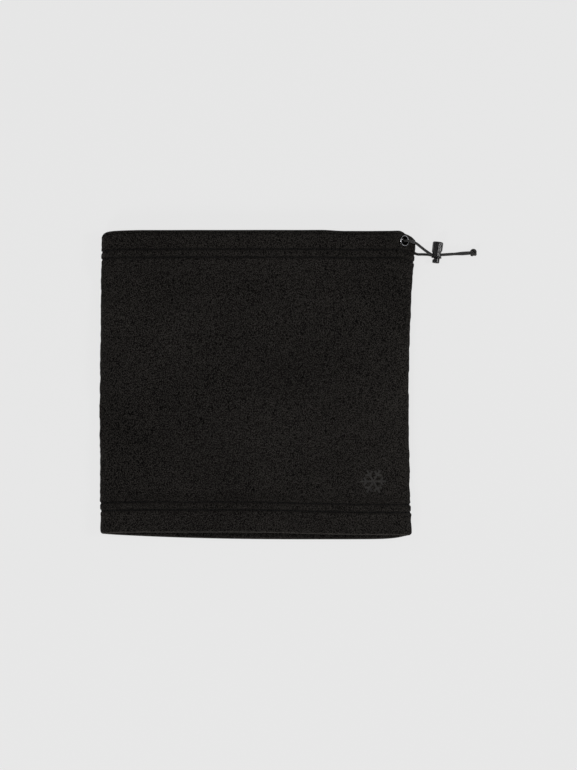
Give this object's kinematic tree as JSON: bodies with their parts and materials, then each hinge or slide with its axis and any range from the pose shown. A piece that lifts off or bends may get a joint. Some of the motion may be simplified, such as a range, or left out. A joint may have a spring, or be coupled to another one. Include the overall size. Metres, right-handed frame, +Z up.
{
  "type": "neck gaiter",
  "caption": "Flat-lying fleece neck gaiter with a stitched hem at each end and an elastic drawcord that leaves the top hem through metal eyelets to a spring cord lock and knot.",
  "frame": {"origin": "on the surface that the gaiter lies on, below the middle of the flattened tube", "axes": "+X across the flattened tube towards the cord lock, +Y along the tube towards the drawcord hem, +Z up"},
  "size_m": [0.3053, 0.2503, 0.0232],
  "materials": {
    "fleece": "brushed polyester fleece, black",
    "thread": "polyester sewing thread, black",
    "cord": "braided elastic cord, black",
    "lock_plastic": "moulded, satin black",
    "eyelet_metal": "gunmetal plated",
    "spring_steel": "bright",
    "satin_label": "woven satin, black",
    "transfer_film": "printed transfer film, dark grey"
  },
  "bodies": {
    "gaiter": {"fleece_tube": "fleece", "back_seam_allowance": "fleece", "back_seam_overlock_thread": "thread", "top_hem_stitch_upper": "thread", "top_hem_stitch_lower": "thread", "bottom_hem_stitch_upper": "thread", "bottom_hem_stitch_lower": "thread", "top_hem_cover_thread": "thread", "bottom_hem_cover_thread": "thread", "care_label": "satin_label", "snowflake_transfer": "transfer_film", "front_eyelet": "eyelet_metal", "front_eyelet_washer": "eyelet_metal", "back_eyelet": "eyelet_metal", "back_eyelet_washer": "eyelet_metal", "drawcord_in_hem": "cord", "drawcord_front_tail": "cord", "drawcord_back_tail": "cord", "drawcord_knot": "cord"},
    "cord_lock": {"cord_lock_barrel": "lock_plastic", "cord_lock_spring": "spring_steel"},
    "lock_plunger": {"cord_lock_plunger": "lock_plastic"}
  },
  "joints": [
    {"name": "lock_slide", "type": "slide", "parent": "gaiter", "child": "cord_lock", "axis": [0.9977, 0.068, 0], "range_m": [-0.011, 0.019], "deforming": ["drawcord_front_tail", "drawcord_back_tail"]},
    {"name": "plunger_press", "type": "slide", "parent": "cord_lock", "child": "lock_plunger", "axis": [0.1219, 0.9925, 0], "range_m": [0, 0.0018], "stiffness_N_per_m": 900, "springref_m": -0.001, "deforming": ["cord_lock_spring"]}
  ]
}
